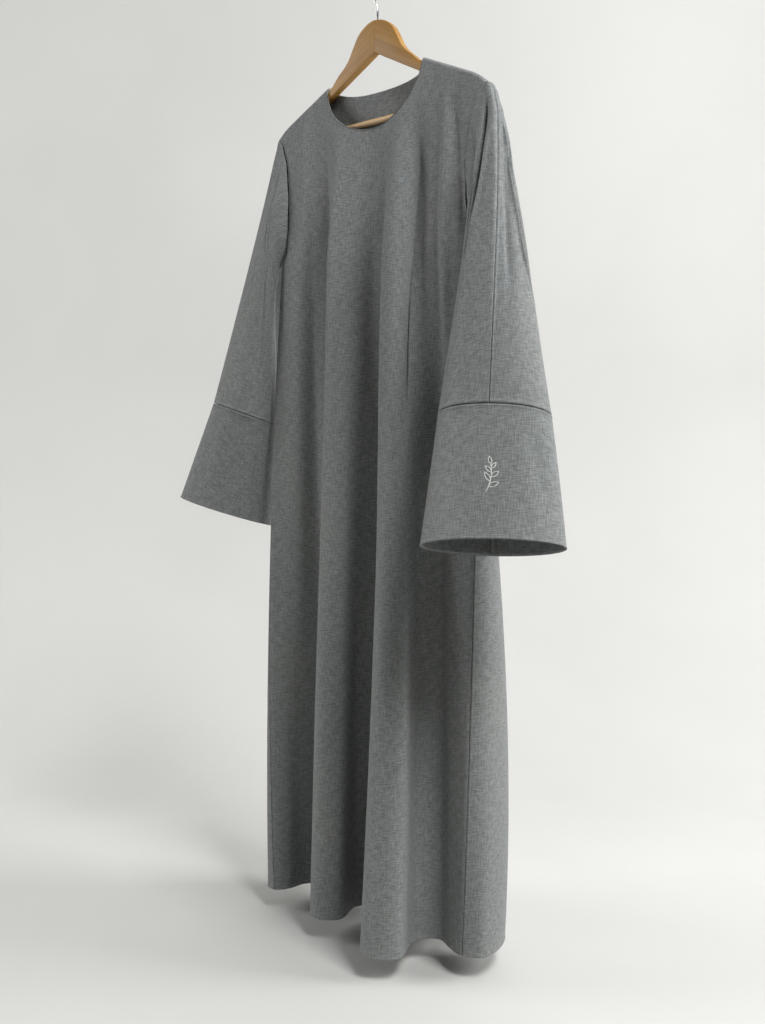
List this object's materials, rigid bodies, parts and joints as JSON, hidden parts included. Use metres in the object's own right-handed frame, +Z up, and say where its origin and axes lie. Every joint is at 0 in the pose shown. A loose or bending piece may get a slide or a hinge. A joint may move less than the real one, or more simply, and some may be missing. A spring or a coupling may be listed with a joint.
{
  "type": "abaya on a wooden hanger",
  "caption": "Plain grey abaya with flared sleeves and deep cuffs, hanging on a light wooden hanger with a wire hook.",
  "frame": {"origin": "where a rail bears on the inside of the hanger's hook", "axes": "+Z up, the garment's front faces -Y, the wearer's left is +X"},
  "size_m": [0.8272, 0.3056, 1.5376],
  "materials": {
    "suiting": "matte mid-grey melange suiting, woven",
    "hanger_wood": "satin clear lacquer on light hardwood",
    "bar_wood": "satin clear lacquer on a turned dowel",
    "hook_wire": "polished chromed wire",
    "embroidery_thread": "off-white rayon embroidery thread, satin"
  },
  "bodies": {
    "root": {"front_panel": "suiting", "back_panel": "suiting", "left_sleeve_front": "suiting", "left_sleeve_back": "suiting", "left_cuff": "suiting", "right_sleeve_front": "suiting", "right_sleeve_back": "suiting", "right_cuff": "suiting", "hanger_arm_left": "hanger_wood", "hanger_arm_right": "hanger_wood", "hanger_bar": "bar_wood", "hanger_hook": "hook_wire"}
  },
  "joints": []
}
